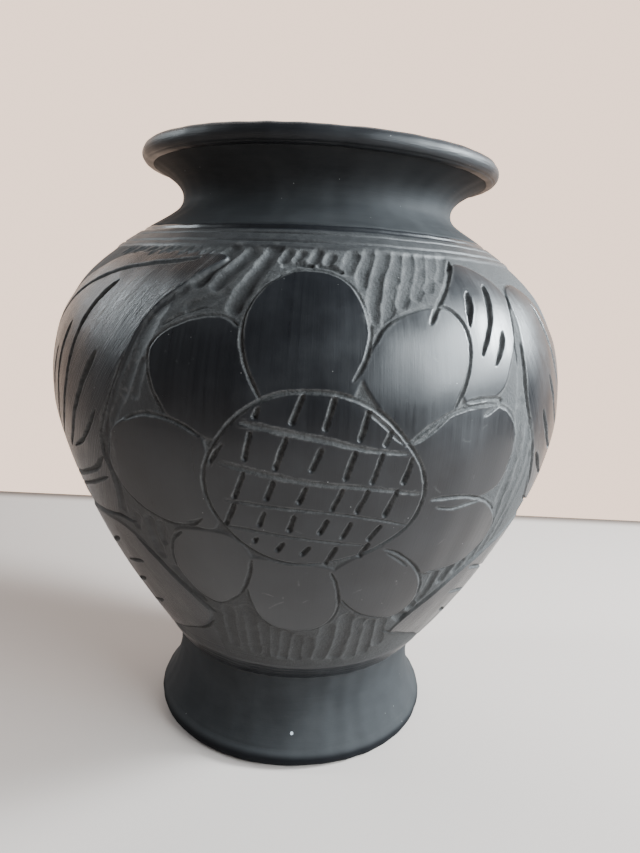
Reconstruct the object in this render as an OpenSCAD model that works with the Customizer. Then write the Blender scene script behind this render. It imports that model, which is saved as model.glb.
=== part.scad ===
// Black clay vase: a carved, burnished barro negro pot with a flared foot and a rolled lip.
// Millimetres, +Z up. The axis of the pot is X = Y = 0 and it stands on Z = 0.
// The pot is hand-built from six clay members that are luted together edge to edge:
// foot ring, base bowl, belly wall, shoulder, neck collar and lip coil. Each is one solid
// and meets its neighbours face to face on a sloping (scarf) joint.
// The pattern that is carved into the outside is less than 1.2 mm deep and isn't drawn here.

/* [Body] */
// Largest outer diameter, at the belly
belly_d = 174.6; // [150:0.5:180]
// Height of the largest diameter
belly_z = 122; // [115:0.5:126]
// Outer diameter where the neck meets the shoulder
collar_d = 116; // [110:0.5:120]
// Height where the neck meets the shoulder
collar_z = 174; // [172:0.5:176]
// Thickness of the thrown wall
wall = 6; // [5:0.1:6.5]

/* [Neck and lip] */
// Outer diameter of the neck at its narrowest
neck_d = 92.6; // [90:0.5:96]
// Height of the narrowest part of the neck
neck_z = 184.5; // [183.5:0.5:185.5]
// Diameter of the circle along the middle of the lip coil
lip_d = 113.8; // [110:0.5:118]
// Thickness of the rolled lip coil
lip_t = 6; // [5:0.1:6.5]
// Overall height
height = 200; // [198:0.5:202]

/* [Foot] */
// Outer diameter of the foot at its heel
foot_d = 102.4; // [98:0.5:108]
// Outer diameter of the waist, where the foot meets the bowl
waist_d = 90.6; // [88:0.5:94]
// Height of the waist
waist_z = 30.8; // [29:0.2:32]
// Height of the heel band, up to the crease in the foot
heel_h = 5.6; // [4.5:0.1:6.5]
// Diameter of the hollow under the foot, at its ceiling
recess_d = 73; // [66:0.5:76]
// Height of that ceiling, which is the underside of the bowl
recess_h = 22.5; // [20:0.5:23.5]
// Height of the floor inside the pot, on the axis
floor_z = 29; // [28:0.5:31]

/* [Joints] */
// Share of the lower body's outline that the base bowl takes
bowl_share = 0.46; // [0.4:0.01:0.6]
// Share of the upper body's outline that still belongs to the belly wall
belly_share = 0.12; // [0.08:0.01:0.2]
// How far each scarf joint falls towards the inside, as a share of the outline
scarf = 0.05; // [0.03:0.01:0.07]

/* [Hidden] */
$fn = 144;

burnished = [0.13, 0.135, 0.145];
carved = [0.19, 0.19, 0.195];

waist_r = waist_d / 2;
belly_r = belly_d / 2;
collar_r = collar_d / 2;
neck_r = neck_d / 2;
heel_r = foot_d / 2;
crease_r = heel_r - 1.5;
lip_r = lip_d / 2;
lip_z = height - lip_t / 2;

// A point of a cubic curve with control points c, and its direction there
function on(c, t) = pow(1 - t, 3) * c[0] + 3 * pow(1 - t, 2) * t * c[1]
    + 3 * (1 - t) * t * t * c[2] + pow(t, 3) * c[3];
function along(c, t) = pow(1 - t, 2) * (c[1] - c[0]) + 2 * (1 - t) * t * (c[2] - c[1])
    + t * t * (c[3] - c[2]);
// The same point moved d to the left of the curve, which is towards the axis as it climbs
function inside(c, t, d) = on(c, t) + d * [-along(c, t)[1], along(c, t)[0]] / norm(along(c, t));
// n + 1 points of the curve from parameter a to b, moved d towards the axis
function stretch(c, a, b, n, d = 0) = [for (i = [0:n]) inside(c, a + (b - a) * i / n, d)];
// n + 1 points of a circle about p from angle a to b
function arc(p, r, a, b, n) = [for (i = [0:n]) let (w = a + (b - a) * i / n) p + r * [cos(w), sin(w)]];

// Where the lip coil is luted to the collar: its crease outside and its edge inside
lip_mid = [lip_r, lip_z];
crease_turn = 259;
edge_turn = 150;
lip_under = lip_mid + lip_t / 2 * [cos(crease_turn), sin(crease_turn)];
lip_edge = lip_mid + lip_t / 2 * [cos(edge_turn), sin(edge_turn)];

// The outline, from the foot up, as [radius, height]
foot_curve = [[crease_r, heel_h], [crease_r - 4.7, heel_h + 6.3], [waist_r - 2, waist_z - 8.2],
    [waist_r, waist_z]];
lower_curve = [[waist_r, waist_z], [waist_r + 18.4, waist_z + 23.6], [belly_r, belly_z - 24],
    [belly_r, belly_z]];
upper_curve = [[belly_r, belly_z], [belly_r, belly_z + 22.5], [collar_r + 22.6, collar_z - 14.4],
    [collar_r, collar_z]];
throat_curve = [[collar_r, collar_z], [collar_r - 8.2, collar_z + 5.2], [neck_r, neck_z - 3.9],
    [neck_r, neck_z]];
flare_curve = [[neck_r, neck_z], [neck_r, neck_z + 4.8], [lip_r - 4.6, lip_z - 5],
    lip_under];

// A V-shaped ring groove, w wide and d deep, cut square to the surface at p, which faces angle a
module ring_groove(p, a, w, d) {
    rotate_extrude()
        translate(p)
            rotate(a)
                polygon([[0.5, -w / 2 - 0.3], [0.5, w / 2 + 0.3], [0, w / 2], [-d, 0], [0, -w / 2]]);
}

// Flared pedestal: a ring of clay with a hollow underneath
module foot_ring() {
    heel = arc([heel_r - 3, 2.9], 3, -75, 55, 6);
    color(burnished)
        rotate_extrude()
            polygon(concat(
                [[recess_d / 2 + 6, 0], [heel_r - 2.6, 0]],
                heel,
                stretch(foot_curve, 0, 1, 10),
                [[recess_d / 2, recess_h], [recess_d / 2 + 2.2, 8], [recess_d / 2 + 4.4, 1.4]]
            ));
}

// Lowest part of the body, with the pot's floor; its sloping rim of clay sits in the foot ring
module base_bowl() {
    color(carved)
        difference() {
            rotate_extrude()
                polygon(concat(
                    [[0, recess_h], [recess_d / 2, recess_h]],
                    stretch(lower_curve, 0, bowl_share, 12),
                    stretch(lower_curve, bowl_share - scarf, 0.02, 10, wall),
                    [[waist_r - 10.5, floor_z + 2.2], [waist_r - 20, floor_z + 0.6], [0, floor_z]]
                ));
            ring_groove(on(lower_curve, 0.012), -38, 0.8, 0.5);
            ring_groove(on(lower_curve, 0.035), -38, 0.8, 0.5);
        }
}

// Middle of the body, up to just above the largest diameter
module belly_wall() {
    color(carved)
        rotate_extrude()
            polygon(concat(
                stretch(lower_curve, bowl_share, 1, 12),
                stretch(upper_curve, 0.04, belly_share, 2),
                stretch(upper_curve, belly_share - scarf, 0, 2, wall),
                stretch(lower_curve, 0.95, bowl_share - scarf, 10, wall)
            ));
}

// Closing curve of the body, with the ring grooves below the neck
module shoulder() {
    color(carved)
        difference() {
            rotate_extrude()
                polygon(concat(
                    stretch(upper_curve, belly_share, 1, 14),
                    stretch(upper_curve, 1 - scarf, belly_share - scarf, 12, wall)
                ));
            ring_groove(on(upper_curve, 0.86), 50, 1, 0.6);
            ring_groove(on(upper_curve, 0.94), 54, 1, 0.6);
        }
}

// Waisted neck that flares out under the lip
module neck_collar() {
    color(burnished)
        difference() {
            rotate_extrude()
                polygon(concat(
                    stretch(throat_curve, 0, 1, 10),
                    stretch(flare_curve, 0.1, 1, 9),
                    [lip_edge],
                    stretch(flare_curve, 0.85, 0.1, 6, wall - 0.5),
                    [inside(throat_curve, 1, wall - 0.5)],
                    stretch(throat_curve, 0.7, 0.25, 3, wall),
                    [inside(upper_curve, 1 - scarf, wall)]
                ));
            ring_groove(on(throat_curve, 0.03), 57, 1, 0.6);
        }
}

// Rolled coil that thickens the rim
module lip_coil() {
    color(burnished)
        rotate_extrude()
            polygon(arc(lip_mid, lip_t / 2, crease_turn - 360, edge_turn, 22));
}

foot_ring();
base_bowl();
belly_wall();
shoulder();
neck_collar();
lip_coil();
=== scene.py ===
"""Carved, burnished black clay vase.

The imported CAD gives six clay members: foot ring, base bowl, belly wall, shoulder, neck collar
and lip coil. Each is replaced by a closed mesh of the same shape that also carries what the
potter's tools leave: burnishing facets, ring grooves, and a flower and leaves cut into the wall.

Lengths are millimetres until a mesh is made, and then metres. A place on the pot is (angle,
height): the angle is in degrees from the front (-Y), positive towards +X.
"""
import math

import bpy
import numpy as np
from mathutils import Matrix, Quaternion, Vector


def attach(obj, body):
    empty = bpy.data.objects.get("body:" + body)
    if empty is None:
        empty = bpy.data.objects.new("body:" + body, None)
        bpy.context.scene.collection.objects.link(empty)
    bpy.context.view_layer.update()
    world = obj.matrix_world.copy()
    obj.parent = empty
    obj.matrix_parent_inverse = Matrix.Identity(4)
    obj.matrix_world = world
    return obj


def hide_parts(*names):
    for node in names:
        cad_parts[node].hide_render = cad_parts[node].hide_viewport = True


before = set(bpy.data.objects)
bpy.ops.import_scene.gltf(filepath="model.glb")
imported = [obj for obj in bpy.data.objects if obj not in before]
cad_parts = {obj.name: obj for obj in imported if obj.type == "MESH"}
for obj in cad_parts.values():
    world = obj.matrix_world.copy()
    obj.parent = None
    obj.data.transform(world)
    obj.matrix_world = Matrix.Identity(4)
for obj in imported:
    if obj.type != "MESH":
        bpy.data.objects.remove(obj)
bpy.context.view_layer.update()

MM = 0.001

# ---------------- outline, as in the CAD model

BELLY_R, BELLY_Z = 87.3, 122.0
COLLAR_R, COLLAR_Z = 58.0, 174.0
NECK_R, NECK_Z = 46.3, 184.5
LIP_R, LIP_Z, LIP_HALF = 56.9, 197.0, 3.0
HEEL_R, HEEL_H, HEEL_ROUND = 51.2, 5.6, 3
WAIST_R, WAIST_Z = 45.3, 30.8
RECESS_R, RECESS_H = 36.5, 22.5
FLOOR_Z = 29.0
WALL, NECK_WALL = 6.0, 5.5
BOWL_SHARE, BELLY_SHARE, SCARF = 0.46, 0.12, 0.05
CREASE_TURN, EDGE_TURN = 259.0, 150.0


def polar(centre, radius, turn):
    """The point at an angle in degrees on a circle."""
    a = np.radians(turn)
    return np.array(centre) + radius * np.array([np.cos(a), np.sin(a)])


LIP_MID = (LIP_R, LIP_Z)
LIP_UNDER = polar(LIP_MID, LIP_HALF, CREASE_TURN)
LIP_EDGE = polar(LIP_MID, LIP_HALF, EDGE_TURN)

# Cubic curves, as four control points (radius, height)
FOOT = (
    (HEEL_R - 1.5, HEEL_H),
    (HEEL_R - 6.2, HEEL_H + 6.3),
    (WAIST_R - 2, WAIST_Z - 8.2),
    (WAIST_R, WAIST_Z),
)
LOWER = (
    (WAIST_R, WAIST_Z),
    (WAIST_R + 18.4, WAIST_Z + 23.6),
    (BELLY_R, BELLY_Z - 24),
    (BELLY_R, BELLY_Z),
)
UPPER = (
    (BELLY_R, BELLY_Z),
    (BELLY_R, BELLY_Z + 22.5),
    (COLLAR_R + 22.6, COLLAR_Z - 14.4),
    (COLLAR_R, COLLAR_Z),
)
THROAT = (
    (COLLAR_R, COLLAR_Z),
    (COLLAR_R - 8.2, COLLAR_Z + 5.2),
    (NECK_R, NECK_Z - 3.9),
    (NECK_R, NECK_Z),
)
FLARE = ((NECK_R, NECK_Z), (NECK_R, NECK_Z + 4.8), (LIP_R - 4.6, LIP_Z - 5), tuple(LIP_UNDER))
CURVE_STEPS = 400


def on(curve, t, inward=0.0):
    """Points of a cubic curve at parameters t, moved towards the axis by inward."""
    c = np.array(curve, float)
    t = np.atleast_1d(np.asarray(t, float))[:, None]
    point = (1 - t) ** 3 * c[0] + 3 * (1 - t) ** 2 * t * c[1] + 3 * (1 - t) * t * t * c[2] + t ** 3 * c[3]
    slope = (1 - t) ** 2 * (c[1] - c[0]) + 2 * (1 - t) * t * (c[2] - c[1]) + t * t * (c[3] - c[2])
    left = np.stack([-slope[:, 1], slope[:, 0]], 1) / np.linalg.norm(slope, axis=1)[:, None]
    return point + inward * left


def lengths(points):
    """The distance along a line of points from its first point to each."""
    return np.concatenate([[0], np.cumsum(np.linalg.norm(np.diff(points, axis=0), axis=1))])


def stretch(curve, a, b, step, inward=0.0):
    """Evenly spaced points, about step apart, of a curve from parameter a to b."""
    parameter = np.linspace(a, b, CURVE_STEPS)
    along = lengths(on(curve, parameter, inward))
    count = max(2, int(round(along[-1] / step)) + 1)
    at = np.interp(np.linspace(0, along[-1], count), along, parameter)
    return on(curve, at, inward)


def straight(a, b, count):
    """Points from a to b, both included."""
    return np.linspace(np.ravel(a), np.ravel(b), count)


def arc(centre, radius, a, b, count):
    """Points of a circle from angle a to b."""
    return np.array([polar(centre, radius, t) for t in np.linspace(a, b, count)])


# The whole outside as one line, to turn a height into a distance along the surface
SKIN = np.concatenate([on(c, np.linspace(0, 1, 500)) for c in (FOOT, LOWER, UPPER, THROAT, FLARE)])
SKIN_RUN = lengths(SKIN)


def run_at(height):
    """Distance along the outside from the foot's crease to a height."""
    return np.interp(height, SKIN[:, 1], SKIN_RUN)


# ---------------- the carved pattern

# Closed outlines of the raised, burnished areas on the front half, as (angle, height)
DISC = [
    (0, 133.6), (6, 133), (12, 129), (17, 121.5), (20.2, 114), (21.2, 106.5), (19.6, 98.5), (15, 92.3),
    (9, 88), (2, 85.8), (-5, 86.3), (-10.5, 90), (-14.6, 96.5), (-17, 104), (-17, 112), (-14.6, 120),
    (-10.5, 127.5), (-5.5, 132.2),
]
PETAL_TOP = [
    (-7.3, 131), (-10, 138.5), (-11.3, 146), (-10.8, 152.5), (-8.2, 158.2), (-4.3, 161.5), (0, 162.2),
    (4, 161.4), (7.2, 159), (9.3, 154.5), (10.3, 148.5), (9.8, 142.5), (8.6, 137), (4, 128),
]
PETAL_UPPER_RIGHT = [
    (9, 137), (10.6, 144), (12.6, 149.5), (16.5, 152.7), (21.5, 154.6), (25.6, 154.6), (28.3, 151.5),
    (29.4, 146.5), (28.7, 140), (27.2, 134.5), (25.2, 129), (18, 121),
]
PETAL_RIGHT = [
    (16.5, 121), (20.5, 125.2), (25, 128.8), (30, 130.3), (35, 130.3), (38.8, 128.3), (41.3, 123.5),
    (41.8, 117), (40.8, 111), (38.2, 106), (30, 104), (20, 106),
]
PETAL_LOW_RIGHT = [
    (20, 106), (25, 105.4), (31, 105), (36.5, 102.6), (40.6, 98.8), (43.6, 94), (43.9, 89),
    (42.3, 84.4), (38.5, 80.8), (33, 79.4), (28, 79.8), (24, 83), (15.5, 91),
]
PETAL_BOTTOM_RIGHT = [
    (14.5, 91), (18.5, 89), (22.5, 85), (26, 80), (28.2, 74.5), (28.6, 69), (26.8, 64.6), (23.6, 62.6),
    (19, 63.5), (14.5, 65.8), (11.2, 69), (8.6, 72.6), (6, 82),
]
PETAL_BOTTOM = [
    (-10, 86.2), (-11.2, 80.5), (-12.2, 75), (-11.8, 69), (-10.4, 63.8), (-7.6, 60), (-3.5, 58.4),
    (1, 58.6), (4.8, 60.2), (7.5, 63.5), (8.6, 68), (8.3, 73), (7, 78.5), (5.5, 84),
]
PETAL_LOW_LEFT = [
    (-10.2, 85.5), (-11.4, 78.5), (-13.5, 72.8), (-16.5, 69), (-20.2, 66.5), (-24, 67.5), (-27, 71.5),
    (-28.8, 77), (-28.6, 83), (-26.8, 88.5), (-23.8, 92.5), (-14, 93),
]
PETAL_LEFT = [
    (-16.8, 119), (-19.5, 122.6), (-23.6, 124.6), (-28, 124.4), (-32, 122.3), (-35.6, 118.5),
    (-37.8, 113), (-38.4, 107.5), (-37, 102), (-34, 97.7), (-30, 95), (-25.5, 94), (-21, 94.8),
    (-16, 97),
]
PETAL_UPPER_LEFT = [
    (-14, 121), (-19, 123), (-23.6, 126), (-26.2, 130.5), (-27.6, 136), (-27.9, 141), (-26, 145.2),
    (-22.6, 148), (-18.6, 149.8), (-14.6, 149.9), (-11.3, 147), (-10, 138.5), (-7.4, 131),
]
PETALS = [PETAL_TOP, PETAL_UPPER_RIGHT, PETAL_RIGHT, PETAL_LOW_RIGHT, PETAL_BOTTOM_RIGHT, PETAL_BOTTOM,
          PETAL_LOW_LEFT, PETAL_LEFT, PETAL_UPPER_LEFT]

LEAF_TUCKED = [
    (21.6, 150.6), (23.6, 154.6), (26.6, 159), (30, 163.6), (34, 165.6), (39, 164), (43.5, 159.6),
    (43.2, 153), (41.4, 146.5), (39, 140), (36.8, 134.5), (33, 132), (28, 131.6),
]
LEAF_UPPER_LEFT = [
    (-18.4, 164.6), (-26, 165.4), (-34, 165.6), (-43, 165.4), (-52, 163), (-60, 157.5), (-67, 149),
    (-75, 138), (-82, 124), (-88.5, 106), (-88, 96), (-78, 93), (-66, 90.5), (-58, 88.5), (-50, 89.5),
    (-43, 91), (-40.5, 97), (-39.6, 104), (-40.4, 111), (-39.2, 117), (-37, 124), (-34.8, 132.5),
    (-32.8, 140), (-31.2, 146), (-28.6, 152), (-25, 157), (-21.6, 161),
]
LEAF_LOWER_LEFT = [
    (-38.6, 83.6), (-35.4, 79.4), (-32, 74), (-29, 69.2), (-26, 65.4), (-25, 60), (-28, 54),
    (-34, 49.5), (-42, 45.8), (-52, 42), (-64, 39.5), (-78, 39), (-88.5, 42), (-88.5, 80), (-78, 83),
    (-66, 84), (-54, 85.6), (-45, 86.4),
]
LEAF_UPPER_RIGHT = [
    (45.6, 158.8), (50, 161.2), (56, 158.5), (63, 150.5), (71, 139), (80, 124), (88.5, 106), (88, 97),
    (78, 94), (66, 93.4), (58, 97), (54.6, 102.5), (51.6, 110.5), (48.6, 118), (46.2, 125.5),
    (44.9, 133), (44.6, 141), (45.2, 150),
]
LEAF_LOWER_RIGHT = [
    (29.4, 60), (33, 66.8), (38, 73.4), (44, 78.8), (50, 82.8), (57, 85.8), (66, 86.8), (78, 84),
    (88.5, 80), (88.5, 42), (78, 39), (64, 38), (54, 41), (46, 44.6), (39.5, 48.2), (33, 51.2),
    (27.5, 54.4),
]
# Each leaf with its burnishing strokes: their lean, in degrees per millimetre below its middle, and depth
LEAVES = [(LEAF_TUCKED, 0.0, 0.0), (LEAF_UPPER_LEFT, 0.42, 1.0), (LEAF_LOWER_LEFT, -0.5, 0.4),
          (LEAF_UPPER_RIGHT, -0.3, 0.1), (LEAF_LOWER_RIGHT, 0.5, 0.3)]

# Cut lines: (half width, depth, points). A thin knife draws the flower, a wider one the leaves.
# Most follow the edge of a petal or a leaf and overshoot it a little
FINE, MEDIUM, BROAD, CHOP = (0.45, 0.45), (0.58, 0.65), (0.85, 0.85), (0.62, 0.85)
FLOWER_LINES = [
    (*MEDIUM, [*PETAL_TOP[:11], (9.4, 142), (7.4, 136.6)]),
    (*MEDIUM, [(10.6, 145), *PETAL_UPPER_RIGHT[2:10], (25.4, 129.6)]),
    (*MEDIUM, [(16.5, 120.6), *PETAL_RIGHT[1:9]]),
    (*MEDIUM, [(23, 105.2), (26, 105.5), *PETAL_LOW_RIGHT[2:11]]),
    (*MEDIUM, [(15.6, 90.6), *PETAL_BOTTOM_RIGHT[1:11], (8.9, 72.4)]),
    (*MEDIUM, [(5.8, 82.8), (7.2, 78.5), *PETAL_BOTTOM[11:2:-1], (-12.1, 74.5)]),
    (*MEDIUM, [(-10.1, 85.8), (-11.2, 79.5), (-13.5, 72.8), (-16.5, 69), (-20.2, 66.3),
               *PETAL_LOW_LEFT[5:10], (-24.2, 91.6)]),
    (*MEDIUM, [(-17.4, 121), (-20.5, 123.2), (-25, 124.6), (-29, 124.2), (-32.5, 122)]),
    (*MEDIUM, [(-36.6, 117), (-38, 112), *PETAL_LEFT[7:11], (-25.5, 93.8), (-21.5, 94.8), (-19.2, 96.8)]),
    (*MEDIUM, [(-23.8, 125.6), *PETAL_UPPER_LEFT[3:10], (-11.6, 147.6)]),
    (*FINE, [(24.6, 102.8), (28, 101.9), (32, 102.5), (35, 102.8)]),
    (*FINE, [(16.4, 89.2), (19.5, 86.4), (22, 83.6)]),
    (*FINE, [(-22, 95.6), (-20, 96.4), (-18.6, 97.6)]),
    (*FINE, [(9.6, 129.6), (12.6, 126.2), (15, 122.8), (16, 121.4)]),
    (*FINE, [(17.2, 120.8), (20.6, 123.8), (24.6, 128.4)]),
    (*MEDIUM, [(28, 131.4), (32, 132), (36.6, 131.4), (34, 129), (32, 127.6)]),
    (*FINE, [(-15.8, 113.4), (-14.6, 117), (-13.4, 119.6)]),
    (*FINE, [(-26.4, 146.6), (-23.4, 149.6), (-19.6, 151.6), (-17.4, 151.8)]),
]
DISC_LINES = [
    (0.75, 0.35, [(-10.4, 125.2), (-4, 123.8), (3, 122.2), (10, 120), (17, 118.8)]),
    (0.7, 0.3, [(-14, 114.6), (-7, 112.8), (1, 111), (11, 109.8), (20.6, 107.4)]),
    (*FINE, [(-13.6, 104.4), (-5, 103.6), (5, 102.4), (13, 100.4), (19.6, 98)]),
    (*FINE, [(-14.2, 96.6), (-6, 95.4), (2, 94), (7, 93), (12, 92.2)]),
]
# Short chopped cuts between those lines, as (lower end, upper end)
DISC_CUTS = [
    ((-8.3, 126.4), (-7.5, 129.2)), ((-2.3, 125.6), (-0.5, 133)), ((3, 124.6), (4.5, 132.6)),
    ((8.7, 122.2), (10, 129.6)), ((12.9, 121), (14, 124.6)),
    ((-15.8, 114.4), (-14.2, 118)), ((-9.8, 115.8), (-8.8, 123.2)), ((-4.8, 114), (-3, 122.4)),
    ((1, 114), (2.6, 120)), ((6.6, 112), (8.1, 119.6)), ((11.2, 111), (12.7, 119)),
    ((16.8, 110.6), (18, 117.8)),
    ((-12, 105), (-10, 112.6)), ((-6.5, 105.4), (-5, 111)), ((-1, 105), (0.3, 109.6)),
    ((4.7, 103), (6.4, 109.6)), ((9, 102.4), (10.8, 109.2)), ((14.2, 101.2), (16, 109)),
    ((-14.2, 96.8), (-12, 103.6)), ((-8, 97.4), (-6.8, 102)), ((-2.7, 96.4), (-1.6, 101.6)),
    ((2.8, 95.8), (4.1, 100.4)), ((6.9, 94.4), (8.4, 99.6)), ((11.9, 93.8), (13.9, 98.6)),
    ((-9.2, 92), (-8.5, 93.8)), ((-5, 89.6), (-3.6, 92.8)), ((-0.4, 88.8), (1.2, 91.8)),
    ((4.3, 85.4), (6.2, 91.8)), ((10.8, 88.2), (12.3, 93)),
]
LEAF_LINES = [
    (*BROAD, [*LEAF_TUCKED[:3], (29.6, 163.2), (32.4, 166.8)]),
    (*BROAD, [(44.8, 158.6), (43.4, 153), (42.4, 147), (42, 140)]),
    (*MEDIUM, [(44.2, 146), (44.2, 139), (44.6, 131.6), (46.2, 125), (48.8, 117.6), (51.8, 110),
               (54.8, 102.4)]),
    (*BROAD, [(-24, 164), (-29, 163), (-36, 162), (-43, 160.6), (-50, 158), (-56, 154.8), (-63, 149),
              (-72, 138), (-81, 124)]),
    (*FINE, [(-33.2, 139), (-35, 132), (-37, 124.6), (-39.2, 117), (-40, 110)]),
    (*BROAD, [(-40.4, 109.4), (-44.5, 104.6), (-50, 101.4), (-56, 98.6), (-63, 96.6), (-74, 96.4)]),
    (*MEDIUM, [(-41, 103), (-48, 98.8), (-55, 95.6), (-61, 93), (-70, 91)]),
    (*BROAD, [(-37.6, 89.4), (-43, 89.6), (-50, 88), (-56, 86.6), (-63, 84.6), (-74, 83.6)]),
    (*BROAD, [(-39, 84), *LEAF_LOWER_LEFT[1:4], (-25.6, 64.2), (-23, 60.6)]),
    (*BROAD, [(29, 60.6), *LEAF_LOWER_RIGHT[1:5], (57, 86), (66, 88)]),
    (*MEDIUM, [(24, 55.6), (28.5, 53.6), (34, 50.8), (40, 48), (46, 44.4), (53, 41)]),
    (*MEDIUM, [(-24.6, 56.6), (-29, 51.6), (-36, 48), (-45, 44), (-54, 40.6)]),
    (*MEDIUM, [(56, 97.6), (60, 95), (66, 92.8), (74, 92.6)]),
]
# Long slashes inside the leaves: they start wide and run out towards the leaf's foot
SLASHES = [
    (1.275, 1.05, [(31.9, 158.6), (31, 154.4), (30, 150.2)]),
    (1.275, 1.1, [(38, 160.6), (35.6, 151.6), (32, 143)]),
    (1.275, 1.05, [(38.6, 148.8), (37.2, 144.6), (35.2, 140.4)]),
    (1.02, 1.1, [(-42.4, 157), (-46.2, 151), (-48.8, 144), (-50.6, 135), (-52.4, 126), (-55, 117.6),
                 (-60.5, 110)]),
    (1.105, 1.1, [(-41, 138), (-44.5, 129.6), (-48, 121), (-51.4, 113.6), (-56, 107.6)]),
    (0.85, 1.0, [(-40.4, 122.6), (-43.4, 116.8), (-47.4, 112), (-53, 108.4)]),
    (1.02, 1.05, [(-53.8, 144.6), (-56, 137), (-57.2, 129), (-58, 121), (-61, 113.6)]),
    (0.935, 1.0, [(-60, 136.6), (-61.4, 129.6), (-62.8, 122.6), (-66, 116)]),
    (0.85, 0.95, [(-66, 138), (-68, 129.6), (-70.6, 121)]),
    (0.85, 0.9, [(-42, 73.6), (-46.4, 72), (-52, 69.6)]),
    (0.935, 1.0, [(-50, 78.6), (-55, 75.6), (-62, 72)]),
    (0.935, 1.0, [(-47, 64.8), (-51.6, 62), (-58, 58.6)]),
    (0.85, 0.9, [(-45, 56.4), (-50, 53.6), (-56, 51)]),
    (1.105, 1.05, [(55.4, 156), (58.4, 148), (61.6, 140.4), (64.6, 134.6), (69.4, 130.6)]),
    (1.02, 1.05, [(56, 136), (59, 130), (61.4, 124.6), (65.4, 119.6)]),
    (1.02, 1.05, [(52.4, 126.4), (55.2, 121), (58.4, 116.2), (63, 112.6), (68, 111)]),
    (0.935, 1.0, [(52.4, 113.4), (56.4, 108.6), (60.6, 105), (66, 102.4)]),
    (0.935, 1.0, [(44.6, 76), (49, 74), (54.4, 71.6), (60, 69), (66, 66)]),
    (0.935, 1.0, [(43, 66.4), (48, 64.6), (54, 62), (60, 59.4)]),
    (0.85, 0.9, [(46, 57.6), (50, 54.8), (55, 52)]),
]
# Midribs on the flanks, where the front's leaves meet the back's
MIDRIB_LINES = [
    (*BROAD, [(-90, 108), (-89.4, 118), (-90.4, 130), (-90, 144)]),
    (*BROAD, [(-90, 44), (-89.6, 54), (-90.4, 66), (-90, 82)]),
]


def between(a, b, c, d, spans):
    """Points of a Catmull-Rom curve from b up to c, with a before and d after them."""
    t = np.linspace(0, 1, spans, endpoint=False)[:, None]
    bend = 2 * a - 5 * b + 4 * c - d
    twist = 3 * b - a - 3 * c + d
    return 0.5 * (2 * b + (c - a) * t + bend * t ** 2 + twist * t ** 3)


def smooth_path(points, spans=7):
    """A smooth curve through the points, with spans steps from each to the next."""
    p = np.array(points, float)
    if len(p) == 2:
        return straight(p[0], p[1], spans + 1)
    q = np.concatenate([[2 * p[0] - p[1]], p, [2 * p[-1] - p[-2]]])
    out = [between(*four, spans) for four in zip(q, q[1:], q[2:], q[3:])]
    return np.concatenate([*out, p[-1:]])


def closed_path(points, spans=7):
    """The same, round a closed outline, without repeating the first point."""
    p = np.array(points, float)
    after, beyond = np.roll(p, -1, axis=0), np.roll(p, -2, axis=0)
    out = [between(*four, spans) for four in zip(np.roll(p, 1, axis=0), p, after, beyond)]
    return np.concatenate(out)


def smoothstep(x):
    """A soft step from 0 to 1 as x goes from 0 to 1."""
    x = np.clip(x, 0, 1)
    return x * x * (3 - 2 * x)


class Waves:
    """Smooth noise on the pot, a sum of plain waves that close up round it.

    turns and length are the ranges of waves round the pot and of their length up it, in millimetres.
    """

    def __init__(self, rng, count, turns, length, size):
        self.turns = rng.integers(turns[0], turns[1] + 1, count)
        self.rate = 2 * np.pi / rng.uniform(length[0], length[1], count) * rng.choice([-1, 1], count)
        self.phase = rng.uniform(0, 2 * np.pi, count)
        self.size = size * math.sqrt(2 / count)

    def __call__(self, angle, run):
        total = np.zeros(np.broadcast(angle, run).shape)
        for m, k, p in zip(self.turns, self.rate, self.phase):
            total += np.cos(m * angle + k * run + p)
        return total * self.size


FAR = 99.0
# The cleared ground: its heights and its depth, and the angles between which shade is painted on it
GROUND_FROM, GROUND_TO = 37, 167.8
GROUND_DEPTH = 0.4
GROUND_SHADE_FROM, GROUND_SHADE_TO = -52, -26


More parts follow.
